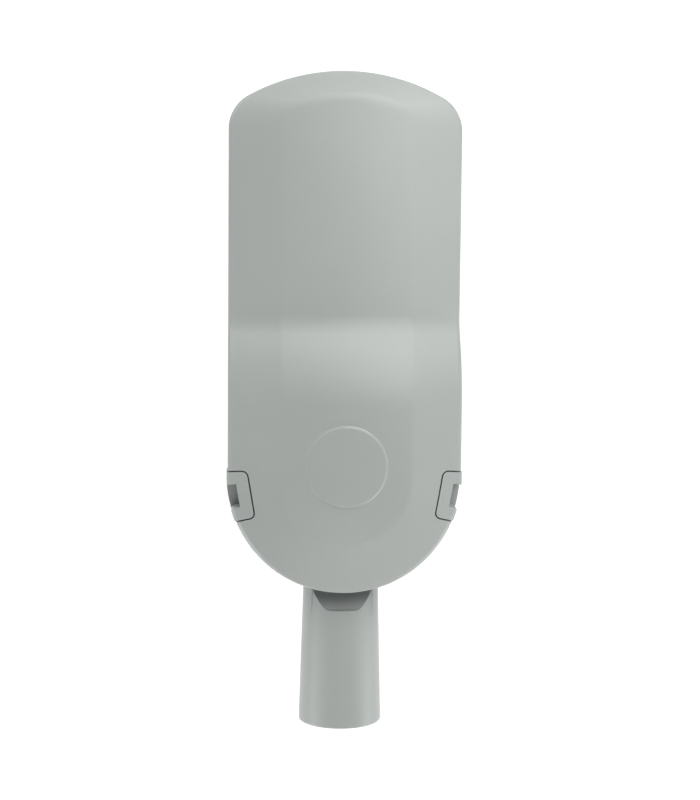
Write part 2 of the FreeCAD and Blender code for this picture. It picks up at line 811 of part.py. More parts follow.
def door_rib():
    """Long stiffening rib on the door's floor, right side."""
    low = door_floor_z
    x0, x1 = door_rib_x - door_rib_thick / 2, door_rib_x + door_rib_thick / 2
    return box(x0, x1, hollow_front_y, door_front_y, low, low + door_wall + door_rib_height)


def keeper():
    """Rib in the door's latch well that the latch's nose holds from below."""
    inner = arm_in + arm_thick + nose_reach - keeper_bite
    return latch_place(box(inner, half_width, -arm_half + 1, arm_half - 1, *keeper_z))


def door_seal():
    """Soft ring between the door's ledge and the housing's."""
    ring = ring_of(gear_plan(), door_wall + seal_play, door_wall + rim_ledge - seal_play, seam_z - seal_thick, seam_z)
    return one(ring.common(door_form(door_wall + seal_play, seam_z)))


def latch():
    """Right latch: cap with a finger slot, pivot barrel, arm and nose."""
    straight, end = rear_form(0, half_width + latch_proud, shoulder_r, 0, False)
    outer = straight.fuse(end)
    straight, end = rear_form(latch_skin, half_width + latch_proud - latch_skin, 0, 0, False)
    inner = straight.fuse(end)
    fill = notch(seam_z, rear_top_z, latch_gap)
    cap = outer.common(fill)
    cap = cap.cut(box(0, head_width, 0, head_length, 0, leg_foot_z))
    bounds = cap.BoundBox
    span = (bounds.YLength / 2) - latch_rib
    far = half_width
    bay = latch_place(box(-far, far, -span, span, 0, rear_top_z))
    cap = cap.cut(inner.common(bay))
    back, front = slot_t
    web = latch_place(box(slot_in - slot_wall, far, back - slot_flare[1], front + slot_wall,
                          slot_floor_z - slot_wall, rear_top_z))
    cap = cap.fuse(web.common(outer).common(fill))
    stem = latch_place(box(pivot_in, far, -latch_reach, latch_reach, leg_foot_z, leg_foot_z + slot_wall))
    foot = latch_rod(barrel_r).fuse(stem.common(outer)).common(notch(0, rear_top_z, latch_gap))
    cap = cap.fuse(foot)
    flare_end = back - slot_flare[1]
    mouth = [(slot_in, back), (slot_flare_in, back), (slot_flare_in + slot_flare[0], flare_end),
             (far, flare_end), (far, front), (slot_in, front)]
    cap = cap.cut(latch_place(slab(mouth, 0, slot_floor_z, rear_top_z + 1)))
    arm_out = arm_in + arm_thick
    profile = [(arm_in, pivot_z), (arm_in, nose_z[0] + 1), (arm_in + 1, nose_z[0]), (arm_out + 1, nose_z[0]),
               (arm_out + nose_reach, nose_z[1] - 1), (arm_out + nose_reach, nose_z[1]), (arm_out, nose_z[1]),
               (arm_out, pivot_z)]
    corners = [Vector(u, -arm_half, v) for u, v in profile]
    arm = Part.Face(Part.makePolygon(corners + corners[:1])).extrude(Vector(0, 2 * arm_half, 0))
    cap = cap.fuse(latch_place(arm))
    return one(cap.cut(latch_rod(latch_pin_r + running_gap)).removeSplitter())


def scoop():
    """Cut over the neck and knuckle that leaves room for the head's rear lip when it tilts."""
    high = 2 * mouth_r
    points = [(scoop_end_y, high), (scoop_end_y, scoop_end_z), (scoop_low_y, knuckle_top_z),
              (tilt_y + 2 * knuckle_r, knuckle_top_z), (tilt_y + 2 * knuckle_r, high)]
    radii = [0, scoop_corner_r, scoop_corner_r, 0, 0]
    wire = rounded_wire(points, radii, lambda y, z: Vector(-mouth_r, y, z))
    return Part.Face(wire).extrude(Vector(2 * mouth_r, 0, 0))


def pole_spigot():
    """Tapered socket for the pole with a scooped top and the knuckle the head tilts on."""
    slope = (mouth_r - neck_r) / head_rear_y
    neck_end_r = mouth_r - slope * neck_end_y
    e = mouth_edge_r
    rim = [(socket_r, 0), (mouth_r - e, 0)]
    arc = Part.Arc(Vector(mouth_r - e, 0, 0), Vector(mouth_r - e + e * sin(pi / 4), e - e * cos(pi / 4), 0),
                   Vector(mouth_r - slope * e, e, 0)).toShape()
    outline = [(mouth_r - slope * e, e), (neck_end_r, neck_end_y), (0, neck_end_y), (0, socket_depth),
               (socket_r, socket_depth), (socket_r, 0)]
    edges = [Part.LineSegment(Vector(*rim[0], 0), Vector(*rim[1], 0)).toShape(), arc]
    for a, b in zip(outline, outline[1:]):
        edges.append(Part.LineSegment(Vector(*a, 0), Vector(*b, 0)).toShape())
    body = Part.Face(Part.Wire(edges)).revolve(Vector(0, 0, 0), Vector(0, 1, 0), 360)
    knuckle = box(-knuckle_half, knuckle_half, knuckle_start_y, tilt_y, -knuckle_r, knuckle_top_z)
    nose = rod(knuckle_r, (-knuckle_half, tilt_y, tilt_z), (knuckle_half, tilt_y, tilt_z))
    body = body.fuse([knuckle, nose])
    body = body.cut(scoop())
    for x0, x1 in ((knuckle_half, mouth_r + 1), (-mouth_r - 1, -knuckle_half)):
        body = body.cut(rod(ear_sweep_r, (x0, tilt_y, tilt_z), (x1, tilt_y, tilt_z)))
    bosses = [rod(set_boss_r, (0, y, -socket_r - 1), (0, y, -mouth_r - set_boss_height)) for y in set_screw_y]
    body = body.fuse(bosses)
    cuts = [rod(cable_r, (0, socket_depth - 1, 0), (0, cable_slot_y[1] - cable_r, 0))]
    y0, y1 = cable_slot_y
    cuts.append(slab([(-cable_r, y0), (cable_r, y0), (cable_r, y1), (-cable_r, y1)], cable_r * 0.6,
                     -cable_r, knuckle_top_z + 1))
    for y in set_screw_y:
        cuts.append(rod(set_screw_r + thread_gap, (0, y, 0), (0, y, -2 * mouth_r)))
    cuts.append(rod(socket_r, (0, -1, 0), (0, socket_depth, 0)))
    for sign in (-1, 1):
        start, end = (sign * bolt_reach, tilt_y, tilt_z), (sign * 2 * knuckle_half, tilt_y, tilt_z)
        cuts.append(rod(bolt_r + thread_gap, start, end))
    return one(body.cut(cuts).removeSplitter())


def tilt_bolts():
    bolts = []
    head_x = ear_out + washer_gap + washer_thick
    for sign in (-1, 1):
        seat = (sign * head_x, tilt_y, tilt_z)
        shank = rod(bolt_r, (sign * (bolt_reach + thread_spare), tilt_y, tilt_z), seat)
        head = hex_rod(bolt_head_af, seat, (sign * (head_x + bolt_head_height), tilt_y, tilt_z))
        bolts.append(shank.fuse(head).removeSplitter())
    return Part.makeCompound(bolts)


def tilt_washers():
    washers = []
    for sign in (-1, 1):
        x0 = sign * (ear_out + washer_gap)
        x1 = x0 + sign * washer_thick
        disc = rod(washer_r, (x0, tilt_y, tilt_z), (x1, tilt_y, tilt_z))
        washers.append(disc.cut(rod(bolt_r + thread_gap, (0, tilt_y, tilt_z), (2 * x1, tilt_y, tilt_z))))
    return Part.makeCompound(washers)


def set_screws():
    screws = []
    for y in set_screw_y:
        tip, end = -socket_r - thread_spare, -mouth_r - set_boss_height - set_screw_proud
        body = rod(set_screw_r, (0, y, tip), (0, y, end))
        well = hex_rod(set_screw_socket_af, (0, y, end - 1), (0, y, end + set_screw_socket_af))
        screws.append(body.cut(well))
    return Part.makeCompound(screws)


def glass_frame():
    ring = window(frame_inset + frame_play, seam_z, seam_z + frame_thick)
    ring = ring.cut(window(glass_inset + frame_cover, seam_z - 1, seam_z + 2 * frame_thick))
    hole_r = frame_screw_r + 2 * thread_gap
    holes = [rod(hole_r, (x, y, seam_z - 1), (x, y, seam_z + 2 * frame_thick)) for x, y in frame_screw_spots()]
    return one(ring.cut(holes))


def frame_screws():
    screws = []
    for x, y in frame_screw_spots():
        shank = rod(frame_screw_r, (x, y, seam_z), (x, y, glass_low_z + frame_screw_depth))
        head = hex_rod(frame_screw_head_af, (x, y, seam_z), (x, y, seam_z - frame_screw_head))
        screws.append(shank.fuse(head))
    return Part.makeCompound(screws)


def glass_cover():
    return window(glass_inset + glass_play, glass_low_z, glass_top_z)


def glass_seal():
    ring = window(glass_inset + glass_play, glass_top_z, light_z)
    return one(ring.cut(window(light_inset, glass_top_z - 1, light_z + 1)))


def board_outline():
    x, y0, y1 = board_half, board_back_y, board_front_y
    return [(-x, y0), (x, y0), (x, y1), (-x, y1)]


def thermal_pad():
    return slab(board_outline(), board_corner_r, platform_z - pad_thick, platform_z)


def led_board():
    return slab(board_outline(), board_corner_r, board_low_z, platform_z - pad_thick)


def lens_spots(column):
    """Centres of one lens plate's domes; column is -1 or 1."""
    middle = column * board_half / 2
    rows = [(i - (lens_rows - 1) / 2) * lens_pitch[1] for i in range(lens_rows)]
    return [(middle + side_step * lens_pitch[0] / 2, board_y + row) for row in rows for side_step in (-1, 1)]


def led_chips():
    chips = []
    half = chip_size / 2
    for column in (-1, 1):
        for x, y in lens_spots(column):
            chips.append(box(x - half, x + half, y - half, y + half, board_low_z - chip_thick, board_low_z))
    return Part.makeCompound(chips)


def lens_plate_y():
    """Rear and front Y of the lens plates."""
    half = (lens_rows - 1) * lens_pitch[1] / 2 + lens_margin
    return board_y - half, board_y + half


def lens_dome(x, y, low):
    """Ball-shaped cap that hangs from the plate."""
    ball_r = (lens_r ** 2 + lens_height ** 2) / (2 * lens_height)
    middle = Vector(x, y, low + ball_r - lens_height)
    return Part.makeSphere(ball_r, middle, Vector(0, 0, -1), degrees(asin(1 - lens_height / ball_r)), 90)


def lens_plate(column):
    """Clear plate with a dome under each chip."""
    x0, x1 = sorted((column * lens_gap / 2, column * (board_half - lens_edge)))
    y0, y1 = lens_plate_y()
    low = board_low_z - lens_base
    body = slab([(x0, y0), (x1, y0), (x1, y1), (x0, y1)], lens_margin / 4, low, board_low_z)
    body = body.fuse([lens_dome(x, y, low) for x, y in lens_spots(column)])
    room = chip_size / 2 + chip_gap
    top = board_low_z - chip_thick - chip_gap
    pockets = [box(x - room, x + room, y - room, y + room, top, board_low_z + 1) for x, y in lens_spots(column)]
    hole_r = lens_screw_r + thread_gap
    holes = [rod(hole_r, (x, y, low - 1), (x, y, board_low_z + 1)) for x, y in lens_screw_spots(column)]
    return one(body.cut(pockets + holes))


def lens_screw_spots(column):
    y0, y1 = lens_plate_y()
    middle = column * board_half / 2
    return [(middle, y0 + lens_screw_inset), (middle, y1 - lens_screw_inset)]


def lens_screws():
    screws = []
    low = board_low_z - lens_base
    for column in (-1, 1):
        for x, y in lens_screw_spots(column):
            shank = rod(lens_screw_r, (x, y, low), (x, y, board_low_z))
            screws.append(shank.fuse(hex_rod(lens_screw_head_af, (x, y, low), (x, y, low - lens_screw_head))))
    return Part.makeCompound(screws)


def gear_tray():
    """Folded sheet that carries the gear under the roof."""
    (x0, x1), (y0, y1) = tray_x, tray_y
    top = tray_z + tray_thick
    plate = slab([(x0, y0), (x1, y0), (x1, y1), (x0, y1)], 2 * tray_thick, tray_z, top)
    lip_y = (y0 + tray_lip_inset, y1 - tray_lip_inset)
    lips = [box(x0, x0 + tray_thick, *lip_y, tray_z - tray_lip, top),
            box(x1 - tray_thick, x1, *lip_y, tray_z - tray_lip, top)]
    body = plate.fuse(lips)
    holes = [rod(tray_screw_r + 2 * thread_gap, (x, y, tray_z - 1), (x, y, top + 1)) for x, y in tray_spots()]
    x, y = earth_spot
    holes.append(rod(earth_r + thread_gap, (x, y, tray_z - 1), (x, y, top + 1)))
    return one(body.cut(holes).removeSplitter())


def tray_screws():
    screws = []
    for x, y in tray_spots():
        shank = rod(tray_screw_r, (x, y, tray_z), (x, y, tray_z + tray_screw_length))
        screws.append(shank.fuse(hex_rod(tray_screw_af, (x, y, tray_z), (x, y, tray_z - tray_screw_head))))
    return Part.makeCompound(screws)


def led_driver():
    """Driver in its case, with a smaller cap at each end."""
    (x0, x1), (y0, y1) = driver_x, driver_y
    low = tray_z - driver_height
    c = driver_chamfer
    points = [(x0, tray_z), (x0, low + c), (x0 + c, low), (x1 - c, low), (x1, low + c), (x1, tray_z)]
    corners = [Vector(u, y0 + driver_cap, v) for u, v in points]
    case = Part.Face(Part.makePolygon(corners + corners[:1])).extrude(Vector(0, y1 - y0 - 2 * driver_cap, 0))
    inset = driver_cap_inset
    caps = [box(x0 + inset, x1 - inset, y, y + driver_cap, low + inset, tray_z) for y in (y0, y1 - driver_cap)]
    return case.fuse(caps).removeSplitter()


def surge_protector():
    (x0, x1), (y0, y1) = surge_x, surge_y
    return slab([(x0, y0), (x1, y0), (x1, y1), (x0, y1)], 3, tray_z - surge_height, tray_z)


def terminal_block():
    """Row of screw terminals with a groove between each pair of ways."""
    (x0, x1), (y0, y1) = terminal_x, terminal_y
    low = tray_z - terminal_height
    body = box(x0, x1, y0, y1, low, tray_z)
    pitch = (x1 - x0) / terminal_ways
    half, depth = terminal_groove[0] / 2, terminal_groove[1]
    grooves = [x0 + i * pitch for i in range(1, terminal_ways)]
    cuts = [box(x - half, x + half, y0 - 1, y1 + 1, low - 1, low + depth) for x in grooves]
    half, depth = terminal_entry[0] / 2, terminal_entry[1]
    z0, z1 = low + terminal_entry_z[0], low + terminal_entry_z[1]
    for i in range(terminal_ways):
        middle = x0 + (i + 0.5) * pitch
        cuts.append(box(middle - half, middle + half, y0 - 1, y0 + depth, z0, z1))
        cuts.append(box(middle - half, middle + half, y1 - depth, y1 + 1, z0, z1))
    return body.cut(cuts)


def disconnect_switch():
    """Switch that cuts the mains when the door opens."""
    (x0, x1), (y0, y1) = switch_x, switch_y
    low = tray_z - switch_height
    body = box(x0, x1, y0, y1, low, tray_z)
    side, end, depth = switch_well
    return body.cut(box(x0 + side, x1 - side, y0 + end, y1 - end, low - 1, low + depth))


def cable_gland():
    """Gland in the wall between the hollow and the gear room."""
    wall_y = hollow_front_y
    seat_y = wall_y + skin
    dome_y = wall_y - gland_collar
    thread_y = seat_y + gland_nut + gland_spare
    back = Vector(0, -1, 0)
    dome = Part.makeCone(gland_dome_r, gland_dome_tip_r, gland_dome, Vector(0, dome_y, gland_z), back)
    collar = hex_rod(gland_af, (0, wall_y, gland_z), (0, dome_y, gland_z))
    thread = rod(gland_thread_r, (0, wall_y, gland_z), (0, thread_y, gland_z))
    nut = hex_rod(gland_af, (0, seat_y, gland_z), (0, seat_y + gland_nut, gland_z))
    bore = rod(gland_bore_r, (0, dome_y - gland_dome - 1, gland_z), (0, thread_y + 1, gland_z))
    return one(dome.fuse([collar, thread, nut]).cut(bore).removeSplitter())


def breather_vent():
    """Pressure vent screwed into the door's floor."""
    low = door_floor_z
    plug = rod(vent_r, (0, vent_y, low), (0, vent_y, low + door_wall + vent_reach))
    return plug.fuse(hex_rod(vent_af, (0, vent_y, low), (0, vent_y, low - vent_head))).removeSplitter()


def earth_screw():
    x, y = earth_spot
    shank = rod(earth_r, (x, y, tray_z), (x, y, tray_z + earth_length))
    return shank.fuse(hex_rod(earth_af, (x, y, tray_z), (x, y, tray_z - earth_head))).removeSplitter()


def lead_grommet():
    """Bush in the wall between the gear room and the light room."""
    start = door_front_y - skin
    low, high = start - grommet_rim_thick, start + grommet_length
    rim = rod(grommet_rim, (grommet_x, start, grommet_z), (grommet_x, low, grommet_z))
    sleeve = rod(grommet_r, (grommet_x, start, grommet_z), (grommet_x, high, grommet_z))
    way = rod(grommet_r - grommet_wall, (grommet_x, low - 1, grommet_z), (grommet_x, high + 1, grommet_z))
    return one(rim.fuse(sleeve).cut(way).removeSplitter())


def main():
    right_latch = latch()
    right_pin = latch_pin()
    parts = {
        "top_housing": top_housing(),
        "gear_door": gear_door(),
        "door_seal": door_seal(),
        "hinge_pins": Part.makeCompound([hinge_pin(-hinge_x), hinge_pin(hinge_x)]),
        "latch_right": right_latch,
        "latch_left": mirrored(right_latch),
        "latch_pins": Part.makeCompound(both(right_pin)),
        "pole_spigot": pole_spigot(),
        "tilt_bolts": tilt_bolts(),
        "tilt_washers": tilt_washers(),
        "set_screws": set_screws(),
        "glass_frame": glass_frame(),
        "frame_screws": frame_screws(),
        "glass_cover": glass_cover(),
        "glass_seal": glass_seal(),
        "thermal_pad": thermal_pad(),
        "led_board": led_board(),
        "led_chips": led_chips(),
        "lens_plate_left": lens_plate(-1),
        "lens_plate_right": lens_plate(1),
        "lens_screws": lens_screws(),
        "gear_tray": gear_tray(),
        "tray_screws": tray_screws(),
        "led_driver": led_driver(),
        "surge_protector": surge_protector(),
        "terminal_block": terminal_block(),
        "disconnect_switch": disconnect_switch(),
        "cable_gland": cable_gland(),
        "breather_vent": breather_vent(),
        "earth_screw": earth_screw(),
        "lead_grommet": lead_grommet(),
    }
    os.makedirs("parts", exist_ok=True)
    for name, shape in parts.items():
        shape.exportStep(os.path.join("parts", name + ".step"))
        print(name, len(shape.Solids), "solids", round(shape.Volume / 1000, 1), "cm3", shape.isValid())


main()
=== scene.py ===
import json
import math

import bmesh
import bpy
from mathutils import Matrix, Vector


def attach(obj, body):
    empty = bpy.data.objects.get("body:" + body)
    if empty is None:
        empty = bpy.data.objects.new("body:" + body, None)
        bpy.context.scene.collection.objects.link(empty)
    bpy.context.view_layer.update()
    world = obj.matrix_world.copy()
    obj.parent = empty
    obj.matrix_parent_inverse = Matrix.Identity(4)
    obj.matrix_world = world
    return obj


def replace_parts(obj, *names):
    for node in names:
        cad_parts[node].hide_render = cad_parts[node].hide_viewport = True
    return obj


MM = 0.001

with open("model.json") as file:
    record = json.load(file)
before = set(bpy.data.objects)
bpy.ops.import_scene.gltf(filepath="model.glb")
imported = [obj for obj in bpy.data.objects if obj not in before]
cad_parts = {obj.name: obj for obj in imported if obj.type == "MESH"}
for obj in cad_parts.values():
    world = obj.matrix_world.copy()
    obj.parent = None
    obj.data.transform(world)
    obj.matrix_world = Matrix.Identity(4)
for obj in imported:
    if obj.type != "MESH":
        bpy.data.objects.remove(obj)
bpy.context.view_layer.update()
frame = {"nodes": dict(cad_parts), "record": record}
nodes = frame["nodes"]
scene = bpy.context.scene


# Camera, fitted to the photograph's frame of 700 x 800

CAMERA_AT = Vector((-98.781, 433.883, 1500.0)) * MM
CAMERA_PITCH = math.radians(5.136)
CAMERA_ROLL = math.radians(4.026)
CAMERA_YAW = math.radians(-0.167)
FOCAL_PIXELS = 1637.032
FRAME_HEIGHT = 800
SENSOR_HEIGHT = 24.0
CLIP_START, CLIP_END = 0.01, 50


def make_camera():
    """Camera at the photograph's viewing angle."""
    data = bpy.data.cameras.new("camera")
    data.sensor_fit = "VERTICAL"
    data.sensor_height = SENSOR_HEIGHT
    data.lens = FOCAL_PIXELS / FRAME_HEIGHT * SENSOR_HEIGHT
    data.clip_start = CLIP_START
    data.clip_end = CLIP_END
    camera = bpy.data.objects.new("camera", data)
    scene.collection.objects.link(camera)
    turn = (
        Matrix.Rotation(CAMERA_YAW, 3, "Z")
        @ Matrix.Rotation(CAMERA_ROLL, 3, "Y")
        @ Matrix.Rotation(CAMERA_PITCH, 3, "X")
    )
    camera.matrix_world = Matrix.Translation(CAMERA_AT) @ turn.transposed().to_4x4()
    scene.camera = camera


make_camera()


# Materials

# Input and output numbers of the colour Mix node
MIX_FACTOR, MIX_FIRST, MIX_SECOND, MIX_RESULT = 0, 6, 7, 2

BEVEL_SAMPLES = 4
OCCLUSION_SAMPLES = 8
# share of open sky from which a place counts as fully open and gets no painted shade
OPEN_FROM = 0.85


def srgb(r, g, b):
    """Linear colour from 0-255 display values."""
    def linear(v):
        v = v / 255
        return v / 12.92 if v <= 0.04045 else ((v + 0.055) / 1.055) ** 2.4
    return (linear(r), linear(g), linear(b), 1.0)


def times(colour, factor):
    return tuple(v * factor for v in colour[:3])


def grey(level):
    return (level, level, level)


class Nodes:
    """Short calls for building a material's nodes."""

    def __init__(self, name):
        self.material = bpy.data.materials.new(name)
        self.material.use_nodes = True
        self.tree = self.material.node_tree
        self.shader = self.tree.nodes["Principled BSDF"]
        self.coordinates = self.add("ShaderNodeTexCoord").outputs["Object"]

    def add(self, kind, **values):
        node = self.tree.nodes.new(kind)
        for key, value in values.items():
            setattr(node, key, value)
        return node

    def link(self, output, socket):
        self.tree.links.new(output, socket)

    def set(self, **values):
        """Sets the shader's own sockets; an underscore stands for a space."""
        for key, value in values.items():
            self.shader.inputs[key.replace("_", " ")].default_value = value

    def noise(self, per_metre, detail=2.0, roughness=0.5, stretch=None):
        """Noise output; per_metre is its scale on the object."""
        node = self.add("ShaderNodeTexNoise")
        node.inputs["Scale"].default_value = per_metre
        node.inputs["Detail"].default_value = detail
        node.inputs["Roughness"].default_value = roughness
        source = self.coordinates
        if stretch:
            mapping = self.add("ShaderNodeMapping")
            mapping.inputs["Scale"].default_value = stretch
            self.link(source, mapping.inputs["Vector"])
            source = mapping.outputs["Vector"]
        self.link(source, node.inputs["Vector"])
        return node.outputs["Fac"]

    def ramp(self, source, stops):
        """Colour from stops of (place, colour)."""
        node = self.add("ShaderNodeValToRGB")
        elements = node.color_ramp.elements
        while len(elements) < len(stops):
            elements.new(0.5)
        for element, (place, colour) in zip(elements, stops):
            element.position = place
            element.color = colour if len(colour) == 4 else (*colour, 1.0)
        self.link(source, node.inputs["Fac"])
        return node.outputs["Color"]

    def between(self, source, low, high):
        """Maps 0..1 to low..high."""
        node = self.add("ShaderNodeMapRange")
        node.inputs["To Min"].default_value = low
        node.inputs["To Max"].default_value = high
        self.link(source, node.inputs["Value"])
        return node.outputs["Result"]

    def multiply(self, first, second):
        """Product of two colours."""
        node = self.add("ShaderNodeMix", data_type="RGBA", blend_type="MULTIPLY")
        node.inputs[MIX_FACTOR].default_value = 1.0
        self.link(first, node.inputs[MIX_FIRST])
        self.link(second, node.inputs[MIX_SECOND])
        return node.outputs[MIX_RESULT]

    def bump(self, height, distance, strength, after=None):
        """Normal with the given height added to the normal after."""
        node = self.add("ShaderNodeBump")
        node.inputs["Distance"].default_value = distance
        node.inputs["Strength"].default_value = strength
        self.link(height, node.inputs["Height"])
        if after:
            self.link(after, node.inputs["Normal"])
        return node.outputs["Normal"]

    def soft_edges(self, radius):
        """Normal that rounds the solid's edges a little."""
        node = self.add("ShaderNodeBevel", samples=BEVEL_SAMPLES)
        node.inputs["Radius"].default_value = radius
        return node.outputs["Normal"]

    def painted_crevice_shade(self, distance, darkest):
        """Painted shade: white in the open, and grey deep in joints and recesses, where less light reaches.
        """
        node = self.add("ShaderNodeAmbientOcclusion", samples=OCCLUSION_SAMPLES)
        node.inputs["Distance"].default_value = distance
        return self.ramp(node.outputs["AO"], [(0.0, grey(darkest)), (OPEN_FROM, grey(1))])

    def colour(self, output):
        self.link(output, self.shader.inputs["Base Color"])

    def roughness(self, output):
        self.link(output, self.shader.inputs["Roughness"])

    def normal(self, output):
        self.link(output, self.shader.inputs["Normal"])

    def switch(self, factor, first, second):
        """The material's surface: the first shader where factor is 0, and the second where it is 1."""
        node = self.add("ShaderNodeMixShader")
        for value, socket in zip((factor, first, second), node.inputs):
            self.link(value, socket)
        self.link(node.outputs["Shader"], self.tree.nodes["Material Output"].inputs["Surface"])


def powder_coat(name, base):
    """Fine matte powder coat over a casting, with a slight waviness of the metal below, and painted shade
    that darkens its colour in joints and recesses.
    """
    m = Nodes(name)
    cloud = m.noise(9.0, detail=3.0, roughness=0.55)
    tone = m.ramp(cloud, [(0.3, times(base, 0.975)), (0.7, times(base, 1.02))])
    speck = m.noise(2600.0, detail=1.0)
    fleck = m.ramp(speck, [(0.36, grey(0.955)), (0.5, grey(1)), (0.68, grey(1.03))])
    paint = m.multiply(tone, fleck)
    # painted shade: the colour darkens where little open sky is seen, in joints, recesses and under overhangs
    m.colour(m.multiply(paint, m.painted_crevice_shade(distance=12 * MM, darkest=0.6)))
    grain = m.noise(1500.0, detail=3.0, roughness=0.6)
    m.roughness(m.between(grain, 0.34, 0.46))
    edges = m.soft_edges(radius=0.4 * MM)
    peel = m.bump(m.noise(330.0), distance=0.06 * MM, strength=0.35, after=edges)
    wave = m.bump(m.noise(16.0, detail=1.0, roughness=0.4), distance=1.2 * MM, strength=0.05, after=peel)
    m.normal(m.bump(grain, distance=0.03 * MM, strength=0.35, after=wave))
    m.set(Specular_IOR_Level=0.5)
    return m.material


def moulded(name, base, rough=0.45, grain_scale=900.0, depth=0.03 * MM):
    """Moulded plastic with a fine spark-eroded grain."""
    m = Nodes(name)
    cloud = m.noise(40.0, detail=3.0, roughness=0.6)
    m.colour(m.ramp(cloud, [(0.3, times(base, 0.95)), (0.7, times(base, 1.05))]))
    grain = m.noise(grain_scale, detail=3.0, roughness=0.6)
    m.roughness(m.between(grain, rough - 0.07, rough + 0.08))
    m.normal(m.bump(grain, depth, strength=0.5))
    return m.material


def rubber(name, base):
    """Matte rubber: the moulded look, rougher and with less gloss."""
    material = moulded(name, base, rough=0.78, grain_scale=500.0, depth=0.05 * MM)
    material.node_tree.nodes["Principled BSDF"].inputs["Specular IOR Level"].default_value = 0.35
    return material


def brushed(name, base, rough, stretch):
    """Bare metal with fine marks along one direction."""
    m = Nodes(name)
    marks = m.noise(700.0, detail=4.0, roughness=0.65, stretch=stretch)
    stain = m.noise(35.0, detail=3.0, roughness=0.6)
    tint = m.ramp(stain, [(0.25, times(base, 0.9)), (0.75, times(base, 1))])
    line = m.ramp(marks, [(0.3, grey(0.88)), (0.7, grey(1))])
    m.colour(m.multiply(tint, line))
    m.roughness(m.between(marks, rough - 0.08, rough + 0.1))
    m.normal(m.bump(marks, distance=0.02 * MM, strength=0.4))
    m.set(Metallic=1.0)
    return m.material


def clear(name, tint, index, rough):
    """Clear glass or plastic with a faint tint and unevenness, which lets the lamps' light through."""
    m = Nodes(name)
    haze = m.noise(12.0)
    m.colour(m.ramp(haze, [(0.3, times(tint, 0.985)), (0.7, times(tint, 1))]))
    m.roughness(m.between(m.noise(300.0), max(rough - 0.01, 0.0), rough + 0.015))
    m.normal(m.bump(m.noise(20.0, detail=1.0), distance=0.1 * MM, strength=0.02))
    m.set(Transmission_Weight=1.0, IOR=index)
    through = m.add("ShaderNodeBsdfTransparent")
    through.inputs["Color"].default_value = tint
    shadow_ray = m.add("ShaderNodeLightPath").outputs["Is Shadow Ray"]
    m.switch(shadow_ray, m.shader.outputs["BSDF"], through.outputs["BSDF"])
    return m.material


def circuit_white(name):
    """White solder resist with slightly raised tracks below it."""
    m = Nodes(name)
    cloud = m.noise(60.0)
    paint = m.ramp(cloud, [(0.3, srgb(226, 227, 222)), (0.7, srgb(238, 239, 235))])
    bricks = m.add("ShaderNodeTexBrick", offset=0.5)
    settings = {
        "Color1": (1, 1, 1, 1), "Color2": (1, 1, 1, 1), "Mortar": (0.86, 0.87, 0.84, 1), "Scale": 42.0,
        "Mortar Size": 0.03, "Brick Width": 1.0, "Row Height": 1.0,
    }
    for key, value in settings.items():
        bricks.inputs[key].default_value = value
    m.link(m.coordinates, bricks.inputs["Vector"])
    m.colour(m.multiply(paint, bricks.outputs["Color"]))
    m.roughness(m.between(m.noise(800.0), 0.28, 0.4))
    m.normal(m.bump(bricks.outputs["Fac"], distance=0.04 * MM, strength=0.6))
    return m.material


COAT = srgb(176, 181, 178)
looks = {
    "coated_casting": powder_coat("powder_coat", COAT),
    "clear_glass": clear("toughened_glass", (0.93, 0.975, 0.96, 1), index=1.52, rough=0.01),
    "clear_lens": clear("clear_optic", (0.97, 0.98, 0.98, 1), index=1.49, rough=0.02),
    "black_rubber": rubber("silicone_rubber", srgb(38, 38, 39)),
    "grey_pad": rubber("heat_pad", srgb(150, 154, 162)),
    "stainless": brushed("stainless_steel", srgb(172, 172, 169), rough=0.3, stretch=(1, 1, 8)),
    "zinc_sheet": brushed("zinc_plated_sheet", srgb(205, 208, 212), rough=0.34, stretch=(1, 12, 1)),
    "board_white": circuit_white("solder_resist"),
    "chip_yellow": moulded("phosphor", srgb(236, 206, 74), rough=0.4, grain_scale=2500.0, depth=0.02 * MM),
    "driver_case": brushed("driver_case", srgb(206, 208, 210), rough=0.4, stretch=(1, 14, 1)),
    "white_plastic": moulded("white_plastic", srgb(222, 222, 217), rough=0.42),
    "black_plastic": moulded("black_plastic", srgb(42, 42, 44), rough=0.48),
    "brass_screw": brushed("brass", srgb(214, 180, 96), rough=0.3, stretch=(1, 1, 8)),
}

slots = {entry["node"]: entry["material_slot"] for entry in frame["record"]["subparts"]}

for node in nodes:
    mesh = nodes[node].data
    mesh.materials.clear()
    mesh.materials.append(looks[slots[node]])


# Fasteners, built finer than the CAD solids that they stand for

# distance below which corners count as one corner
WELD = 0.01 * MM
# points within this distance along a screw count as one level
LEVEL_TOLERANCE = 0.1 * MM
# share of the pitch
THREAD_DEPTH = 0.6
ROWS_PER_TURN = 5
# shares of a bolt head's width across its flats
HEAD_RIM_R, HEAD_FACE_R, HEAD_WASHER, HEAD_EDGE, HEAD_DISH = 0.475, 0.47, 0.035, 0.012, 0.03
# shares of the rim's radius
DISH_FLOOR_R, DISH_R = 0.68, 0.8
HEAD_CHAMFER = math.radians(30)
# shares of a headless screw's radius and of its socket's width
GRUB_EDGE, GRUB_RIM_R = 0.12, 0.62
GRUB_WELL_SLOPE = 0.4 * MM

members = frame["record"]["behaviour"]["bodies"]
bodies = {node: body for body in members for node in members[body]}


